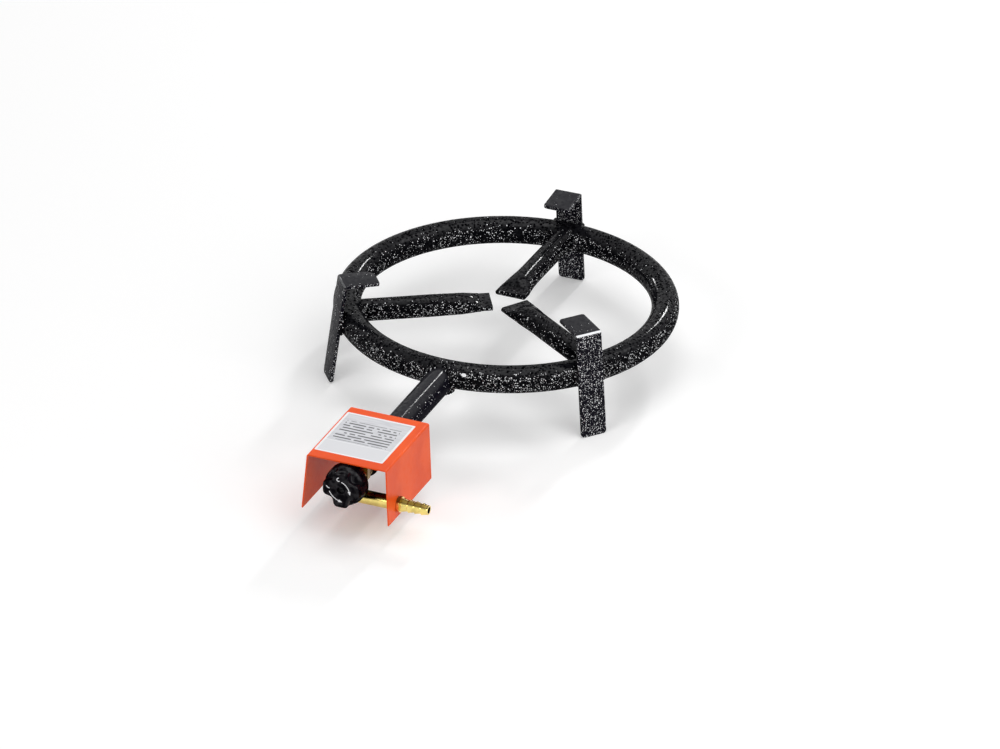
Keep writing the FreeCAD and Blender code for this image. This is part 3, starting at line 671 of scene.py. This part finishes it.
def printMaterial():
    m = marks
    r = newMaterial("knobPrint")
    rubbed = r.noise(r.place(), m["grainSize"], detail=3.0).rise(*m["rubbedBand"])
    return r.paint(
        base=r.blend(rubbed * m["rubbedShare"], m["white"], m["rubbed"]),
        roughness=m["roughness"] + rubbed * m["rubbedRoughness"],
    )


def curveThrough(corners):
    # Bezier curve: sum of corner_i * binomial(3, i) * (1 - t)^(3 - i) * t^i
    t = np.linspace(0.0, 1.0, marks["stations"])[:, None]
    p = np.array(corners)
    return p[0] * (1 - t) ** 3 + 3 * p[1] * (1 - t) ** 2 * t + 3 * p[2] * (1 - t) * t ** 2 + p[3] * t ** 3


def ribbon(path, firstWidth, lastWidth):
    # Two points at each station, half a width to either side of the path
    along = np.gradient(path, axis=0)
    along /= np.linalg.norm(along, axis=1)[:, None]
    half = np.linspace(firstWidth, lastWidth, len(path))[:, None] / 2
    side = np.stack([-along[:, 1], along[:, 0]], axis=-1) * half
    return np.stack([path - side, path + side], axis=1)


def arrowHead(corners):
    # A straight ribbon from the curve's end, tip + way * distance, that narrows to a point
    tip = np.array(corners[3])
    way = tip - np.array(corners[2])
    way /= np.linalg.norm(way)
    path = tip + way * np.linspace(0.0, marks["headLength"], marks["headStations"])[:, None]
    return ribbon(path, marks["headWidth"], marks["headEnd"])


def knobMarkings():
    # Flat ribbons (u, v) laid on the knob's face: point = (u, front, axis height + v)
    m = marks
    strips = [ribbon(curveThrough(c), m["width"], m["width"]) for c in m["arrows"] + m["strokes"]]
    strips += [arrowHead(c) for c in m["arrows"]]
    faces, count = [], 0
    for strip in strips:
        faces += gridFaces(len(strip), 2, first=count)
        count += 2 * len(strip)
    flat = np.concatenate(strips).reshape(-1, 2)
    front = -(knob["back"] + knob["depth"] + m["lift"])
    points = np.stack([flat[:, 0], np.full(count, front), knob["axisHeight"] + flat[:, 1]], axis=-1)
    piece = meshPiece("knobMarkings", points, faces, printMaterial(), "valve_stem")
    work = bmesh.new()
    work.from_mesh(piece.data)
    bmesh.ops.reverse_faces(work, faces=[face for face in work.faces if face.normal.y > 0])
    work.to_mesh(piece.data)
    work.free()


knobMarkings()
print("knob markings")


# Legs: one bent strip each, with a tight bend and the slight lean of a hand-bent tab
leg = {
    "width": 0.020, "thickness": 0.0025, "splay": 7.6, "panHeight": 0.0775,
    "ringHeight": 0.0435, "ringMiddle": 0.115, "ringTube": 0.010,
    "tab": 0.0263, "bend": 0.0019, "edge": 0.0006, "corner": 0.0024, "sides": 4, "edgeAngle": 50,
    # stations as shares of the way: from, to, how many
    "tabStations": [(0.0, 0.32, 12), (0.4, 1.0, 6)],
    "bendStations": [(0.0, 1.0, 9)],
    "postStations": [(0.0, 0.96, 20), (0.965, 1.0, 8)],
    "coating": {
        "density": 0.80, "grain": 0.60, "evenness": 0.85, "ground": "violet", "dust": 0.9, "pitting": 0.2,
    },
}
legs = {
    # angle round the ring, tab's lean in degrees, tab's drop, radius of the tab's two corners, strength of
    # the painted highlight on the bend
    "rear": (91.1, -3.0, 0.0012, 0.0022, 0.0022, 0.25),
    "left": (217.7, -1.0, 0.0, 0.0012, 0.0075, 0.12),
    "right": (321.2, 2.6, 0.0, 0.0010, 0.0010, 1.0),
}


def cornerInset(distance, radius):
    # How far a rounded corner draws the side in, at a distance from the end:
    # radius - sqrt(radius^2 - (radius - distance)^2)
    d = np.clip(distance, 0.0, radius)
    return radius - np.sqrt(radius ** 2 - (radius - d) ** 2)


def stations(parts):
    return np.concatenate([np.linspace(*part) for part in parts])[:, None]


def legStations(lean, drop):
    # Outer and inner points (reach, height) from the tab's tip to the foot: straight parts
    # start + (end - start) * t, and between them the bend, centre + radius * unit(arm(t))
    g = leg
    splay, tilt = math.radians(g["splay"]), math.radians(lean)
    top = g["panHeight"] - drop
    face = g["ringMiddle"] * math.cos(splay) + g["ringTube"] + g["thickness"]
    corner = np.array([(face - (top - g["ringHeight"]) * math.sin(splay)) / math.cos(splay), top])
    down = np.array([math.sin(splay), -math.cos(splay)])
    inward = np.array([-math.cos(tilt), math.sin(tilt)])
    tip = corner + inward * g["tab"]
    postIn = np.array([-math.cos(splay), -math.sin(splay)]) * g["thickness"]
    tabIn = np.array([-math.sin(tilt), -math.cos(tilt)]) * g["thickness"]
    # tangent length of the bend's arc between the tab and the post
    turn = math.acos(np.clip(np.dot(-inward, down), -1, 1))
    reach = g["bend"] * math.tan(turn / 2)
    first, last = corner + inward * reach, corner + down * reach
    centre = first + tabIn / g["thickness"] * g["bend"]
    footOut = corner + down * (top / math.cos(splay))
    footIn = footOut + np.array([-g["thickness"] / math.cos(splay), 0.0])
    # the inner faces' own meeting point
    share = np.linalg.solve(np.array([inward, -down]).T, postIn - tabIn)[0]
    inner = corner + tabIn + inward * share
    onTab = stations(g["tabStations"])
    onBend = stations(g["bendStations"])[1:]
    onPost = stations(g["postStations"])[1:]
    arm = (first - centre) * (1 - onBend) + (last - centre) * onBend
    arc = centre + arm / np.linalg.norm(arm, axis=1)[:, None] * g["bend"]
    outs = np.concatenate([tip + (first - tip) * onTab, arc, last + (footOut - last) * onPost])
    ins = np.concatenate([
        tip + tabIn + (inner - tip - tabIn) * onTab,
        np.tile(inner, (len(arc), 1)),
        inner + (footIn - inner) * onPost])
    return outs, ins, np.linalg.norm(outs - tip, axis=1), outs[:, 1]


def legStrip(side):
    # The section, a flat bar with four rounded edges, carried along the stations: at each edge
    # across = hand * (half - edge + edge * sin t), and depth from the outer face = edge - edge * cos t
    g = leg
    angle, lean, drop, leftCorner, rightCorner, bendHighlightStrength = legs[side]
    outs, ins, fromTip, fromFoot = legStations(lean, drop)
    way = math.radians(angle)
    radial = np.array([math.cos(way), math.sin(way), 0.0])
    lateral = np.array([-math.sin(way), math.cos(way), 0.0])
    half = g["width"] / 2 - cornerInset(fromFoot, g["corner"])[:, None]
    plus = half - cornerInset(fromTip, leftCorner)[:, None]
    minus = half - cornerInset(fromTip, rightCorner)[:, None]
    thick = np.linalg.norm(ins - outs, axis=1)[:, None]
    bow = np.linspace(0.0, math.pi / 2, g["sides"])
    across, depth = [], []
    for hand, reach, inside in ((1, plus, False), (1, plus, True), (-1, minus, True), (-1, minus, False)):
        t = bow if (hand > 0) != inside else bow[::-1]
        fromFace = g["edge"] - g["edge"] * np.cos(t) + 0 * thick
        across.append(hand * (reach - g["edge"] + g["edge"] * np.sin(t)))
        depth.append(thick - fromFace if inside else fromFace)
    across, depth = np.hstack(across)[..., None], np.hstack(depth)[..., None]
    inwards = (ins - outs) / thick
    profile = outs[:, None] + inwards[:, None] * depth
    points = radial * profile[..., :1] + lateral * across + np.array([0.0, 0.0, 1.0]) * profile[..., 1:]
    count = points.shape[1]
    faces = gridFaces(len(points), count, columnsClosed=True)
    faces.append(list(range(count)))
    faces.append(list(range(len(points) * count - 1, (len(points) - 1) * count - 1, -1)))
    glaze = enamelMaterial("legEnamel_" + side, thinBend=(radial[0], radial[1], bendHighlightStrength), **g["coating"])
    piece = meshPiece("legStrip_" + side, points, faces, glaze, "stand", edgeAngle=g["edgeAngle"])
    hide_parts("pan_leg_" + side)


for side in legs:
    legStrip(side)
print("legs")


# Arms: the solids' own tubes with their ports, pinched flat over a shorter stretch than the solids are
pinch = {
    "tube": 0.0164, "lipWidth": 0.0236, "lipHeight": 0.0036, "lip": 0.0075,
    "taper": 0.044, "taperPower": 3, "taperSteps": 10,
    "slideStart": 0.0060, "slideEnd": 0.0355, "slide": 0.0065,
    "fallPower": 2.0, "slow": 0.12, "slowPower": 2.0,
    "edgeAngle": 34, "brow": 0.55,
}
arms = {
    # angle round the ring and rise inwards in degrees, length of the pinch,
    # how far it also narrows the flare, density of specks, dullness of pits
    "rear": (89.9, 1.4, 0.013, 0.0, 0.50, 0.8),
    "left": (210.4, 0.9, 0.013, 0.8, 0.68, 0.9),
    "right": (326.7, 1.3, 0.014, 0.1, 0.38, 0.9),
}


def solidFlatness(fromTip):
    # How far the solid is pressed flat at a distance from its tip:
    # share ^ power at each of its sections, and straight between them
    k = pinch
    share = np.linspace(1.0, 0.0, k["taperSteps"] + 1)
    return np.interp(fromTip, k["lip"] + k["taper"] * (1 - share), share ** k["taperPower"])


def pinchedFlatness(fromTip, fall):
    # The same for the pinched tube: (1 - slow) * (1 - d / fall) ^ p + slow * (1 - d / taper) ^ q,
    # where d is the distance behind the lip
    k = pinch
    behind = np.clip(fromTip - k["lip"], 0.0, None)
    steep = np.clip(1 - behind / fall, 0.0, 1.0) ** k["fallPower"]
    gentle = np.clip(1 - behind / k["taper"], 0.0, 1.0) ** k["slowPower"]
    return steep * (1 - k["slow"]) + gentle * k["slow"]


def armTube(side):
    # Sections slide along the arm, s' = s - slide * sin^2(pi * (s - start) / (end - start)),
    # and each is scaled across and up from the solid's size at s to the pinched size at s'
    k = pinch
    angle, rise, fall, narrowing, density, pitting = arms[side]
    angle, rise = math.radians(angle), math.radians(rise)
    along = np.array([math.cos(rise) * math.cos(angle), math.cos(rise) * math.sin(angle), -math.sin(rise)])
    across = np.array([-math.sin(angle), math.cos(angle), 0.0])
    above = np.cross(along, across)
    mesh = bpy.data.meshes.new("armTube_" + side)
    work = bmesh.new()
    work.from_mesh(nodes["burner_arm_" + side].data)
    bmesh.ops.remove_doubles(work, verts=work.verts, dist=mergeGap)
    work.to_mesh(mesh)
    work.free()
    places = np.empty(len(mesh.vertices) * 3)
    mesh.vertices.foreach_get("co", places)
    places = places.reshape(-1, 3)
    s, w, v = places @ along, places @ across, places @ above
    tip, middle = s.min(), (v.min() + v.max()) / 2
    s = s - tip
    turn = np.clip((s - k["slideStart"]) / (k["slideEnd"] - k["slideStart"]), 0.0, 1.0)
    slid = s - k["slide"] * np.sin(math.pi * turn) ** 2
    flare, drop = k["lipWidth"] - k["tube"], k["tube"] - k["lipHeight"]
    pressed = pinchedFlatness(slid, fall)
    flared = solidFlatness(slid) * (1 - narrowing) + pressed * narrowing
    wider = (k["tube"] + flare * flared) / (k["tube"] + flare * solidFlatness(s))
    higher = (k["tube"] - drop * pressed) / (k["tube"] - drop * solidFlatness(s))
    places = (slid + tip)[:, None] * along + (w * wider)[:, None] * across \
        + (middle + (v - middle) * higher)[:, None] * above
    mesh.vertices.foreach_set("co", places.ravel())
    glaze = enamelMaterial("armEnamel_" + side, density=density, pitting=pitting, brow=k["brow"])
    mesh.materials.clear()
    mesh.materials.append(glaze)
    mesh.polygons.foreach_set("material_index", [0] * len(mesh.polygons))
    mesh.polygons.foreach_set("use_smooth", [True] * len(mesh.polygons))
    mesh.set_sharp_from_angle(angle=math.radians(k["edgeAngle"]))
    mesh.update()
    piece = bpy.data.objects.new("armTube_" + side, mesh)
    bpy.context.scene.collection.objects.link(piece)
    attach(piece, "stand")
    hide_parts("burner_arm_" + side)


for side in arms:
    armTube(side)
print("arms")


# Weld bead where the supply tube meets the ring, with the ripples of the torch
bead = {
    "ringHeight": 0.0435, "ringRadius": 0.115, "tubeRadius": 0.010,
    "axisHeight": 0.0405, "radius": 0.0021, "standOff": 0.0004,
    "lipRise": 0.0016, "lipReach": 0.0058, "lipWidth": 0.75,
    "stations": 340, "sides": 20, "edgeAngle": 80,
    "tubeEnd": 0.119, "blend": 0.0008,
    "ripples": 34, "rippleDepth": 0.10,
    "drifts": [(3, 0.5, 0.4), (5, 0.4, 1.7)],      # waves a turn, how far they shift the ripples, start
    "swells": 2, "swellDepth": 0.05, "seed": 5,
    # closing plate under the ring: (radius, distance in front of the tube's end)
    "plateSides": 64,
    "plate": [
        (0.0, -0.0010), (0.0088, -0.0010), (0.0098, -0.0006),
        (0.0101, 0.0002), (0.0098, 0.0012), (0.0, 0.0012),
    ],
}


def beadPath():
    # The meeting line of tube and ring, pushed out along both surfaces' directions
    b = bead
    a = np.linspace(0.0, 2 * math.pi, b["stations"], endpoint=False)
    x = b["tubeRadius"] * np.sin(a)
    z = b["axisHeight"] + b["tubeRadius"] * np.cos(a)
    level = np.clip((z - b["ringHeight"]) / b["tubeRadius"], -1.0, 1.0)
    beyond = b["ringRadius"] + b["tubeRadius"] * np.sqrt(1 - level ** 2) - b["tubeEnd"]
    # the ring's surface, or the tube's end where that lies further out, with a soft change between
    reach = b["tubeEnd"] + (beyond + np.sqrt(beyond ** 2 + b["blend"] ** 2)) / 2
    y = -np.sqrt(reach ** 2 - x ** 2)
    fromTube = np.stack([np.sin(a), 0 * a, np.cos(a)], axis=-1)
    outward = (reach - b["ringRadius"]) / b["tubeRadius"]
    fromRing = np.stack([outward * x / reach, outward * y / reach, level], axis=-1)
    turn = np.minimum(a, 2 * math.pi - a)
    lip = np.exp(-(turn / b["lipWidth"]) ** 2)
    path = np.stack([x, y + b["lipReach"] * lip, z + b["lipRise"] * lip], axis=-1)
    path += b["standOff"] * (fromTube + fromRing)
    return a, path, fromTube + fromRing


def closingPlate():
    # The plate's profile turned round the tube's axis: (radius * sin a, y, axis height + radius * cos a)
    b = bead
    a = np.linspace(0.0, 2 * math.pi, b["plateSides"], endpoint=False)
    radius, front = np.array(b["plate"]).T[..., None]
    return np.stack([
        radius * np.sin(a), front - b["tubeEnd"] + 0 * a, b["axisHeight"] + radius * np.cos(a)], axis=-1)


def supplyBead():
    # Round section carried along the path: path + radius * (out * cos t + across * sin t),
    # with radius * (1 + ripples + a slow swell)
    b = bead
    a, path, out = beadPath()
    along = np.roll(path, -1, axis=0) - np.roll(path, 1, axis=0)
    along /= np.linalg.norm(along, axis=1)[:, None]
    out -= along * np.sum(out * along, axis=1)[:, None]
    out /= np.linalg.norm(out, axis=1)[:, None]
    across = np.cross(along, out)
    random = np.random.default_rng(b["seed"])
    wave = a * b["ripples"] + sum(far * np.sin(waves * a + start) for waves, far, start in b["drifts"])
    swell = b["swellDepth"] * np.sin(b["swells"] * a + random.uniform(0, 6))
    radius = b["radius"] * (1 + b["rippleDepth"] * np.sin(wave) + swell)
    t = np.linspace(0.0, 2 * math.pi, b["sides"], endpoint=False)[:, None]
    section = out[:, None] * np.cos(t) + across[:, None] * np.sin(t)
    points = (path[:, None] + radius[:, None, None] * section).reshape(-1, 3)
    faces = gridFaces(b["stations"], b["sides"], rowsClosed=True, columnsClosed=True)
    plate = closingPlate()
    faces += gridFaces(len(plate), b["plateSides"], columnsClosed=True, first=len(points))
    piece = meshPiece(
        "supplyWeldBead", np.concatenate([points, plate.reshape(-1, 3)]), faces,
        materials["speckled_enamel"], "stand", edgeAngle=b["edgeAngle"],
    )
    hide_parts("supply_weld")


supplyBead()
print("weld bead")


# Floor, light and camera
studio = {
    "floorColour": (0.88, 0.88, 0.88, 1), "floorRoughness": 0.9, "floorSpecular": 0.0,
    "white": (1, 1, 1, 1), "floorLift": 0.20, "world": 0.22,
    "floorRadius": 9.0, "firstRing": 0.001, "rings": 24, "sides": 96,
    "floorMiddle": -0.08, "floorHeight": -0.0002,
}


def floorMaterial():
    s = studio
    r = newMaterial("paleFloor")
    material = r.paint(base=s["floorColour"], roughness=s["floorRoughness"], specular=s["floorSpecular"])
    painted = Tap(r, r.tree.nodes["Principled BSDF"].outputs[0])
    glow = r.add("ShaderNodeEmission", None, {"Color": s["white"], "Strength": r.seen() * s["floorLift"]})
    total = r.add("ShaderNodeAddShader", None, {0: painted, 1: glow})
    r.feed(r.tree.nodes["Material Output"], {"Surface": total})
    return material


def floorDisc():
    # Point(s, t) = radius(s) at angle(t), rings closer together near the middle
    s = studio
    reach = s["floorRadius"] * np.linspace(0.0, 1.0, s["rings"])[:, None] ** 2
    reach[0] = s["firstRing"]
    turn = np.linspace(0.0, 2 * math.pi, s["sides"], endpoint=False)
    points = np.stack([
        reach * np.cos(turn),
        reach * np.sin(turn) + s["floorMiddle"],
        s["floorHeight"] + 0 * reach * turn], axis=-1).reshape(-1, 3)
    faces = [quad[::-1] for quad in gridFaces(s["rings"], s["sides"], columnsClosed=True)]
    faces.append(list(range(s["sides"])))
    mesh = bpy.data.meshes.new("floorDisc")
    mesh.from_pydata(points.tolist(), [], faces)
    mesh.materials.append(floorMaterial())
    floor = bpy.data.objects.new("floorDisc", mesh)
    bpy.context.scene.collection.objects.link(floor)


def worldLight():
    # White where it is looked at or mirrored, dimmer as a light
    world = bpy.data.worlds.new("softRoom")
    bpy.context.scene.world = world
    r = Recipe(world)
    strength = studio["world"] + (1.0 - studio["world"]) * r.seen()
    r.feed(r.tree.nodes["Background"], {"Color": studio["white"], "Strength": strength})


lamps = [
    # name, place, aims at, width, height, watts
    ("backStrip", (0.071, 1.950, 1.300), (0.0, -0.05, 0.03), 0.16, 0.46, 11.5),
    ("leftStrip", (-1.91, 1.34, 0.90), (0.0, 0.0, 0.03), 0.15, 0.20, 4.0),
    ("overheadBox", (0.60, 0.10, 2.5), (0.0, -0.1, 0.0), 2.8, 2.8, 36.0),
    ("rightBox", (1.8, -0.9, 1.1), (0.0, -0.15, 0.03), 2.0, 1.8, 15.0),
    ("frontPanel", (-0.75, -2.35, 1.35), (0.0, -0.15, 0.03), 1.1, 0.8, 16.0),
]


def areaLamp(name, place, target, width, height, watts):
    light = bpy.data.lights.new(name, "AREA")
    light.shape = "RECTANGLE"
    light.size = width
    light.size_y = height
    light.energy = watts
    lamp = bpy.data.objects.new(name, light)
    lamp.location = place
    lamp.rotation_euler = (Vector(target) - Vector(place)).to_track_quat("-Z", "Y").to_euler()
    bpy.context.scene.collection.objects.link(lamp)


view = {
    "place": (2.2735452, -5.5115288, 3.2190264),
    "right": (0.921663, 0.387812, 0.011817),
    "up": (-0.194516, 0.435498, 0.878923),
    "back": (0.335710, -0.812369, 0.476818),
    "lens": 336.7368, "sensor": 36.0, "near": 0.1, "far": 60.0,
}


def photoCamera():
    camera = bpy.data.cameras.new("photoCamera")
    camera.sensor_width = view["sensor"]
    camera.lens = view["lens"]
    camera.clip_start = view["near"]
    camera.clip_end = view["far"]
    holder = bpy.data.objects.new("photoCamera", camera)
    turn = Matrix((view["right"], view["up"], view["back"])).transposed().to_4x4()
    holder.matrix_world = Matrix.Translation(Vector(view["place"])) @ turn
    bpy.context.scene.collection.objects.link(holder)
    bpy.context.scene.camera = holder


floorDisc()
worldLight()
for lamp in lamps:
    areaLamp(*lamp)
photoCamera()
bpy.context.scene.view_settings.view_transform = "Standard"
print("floor, light and camera")
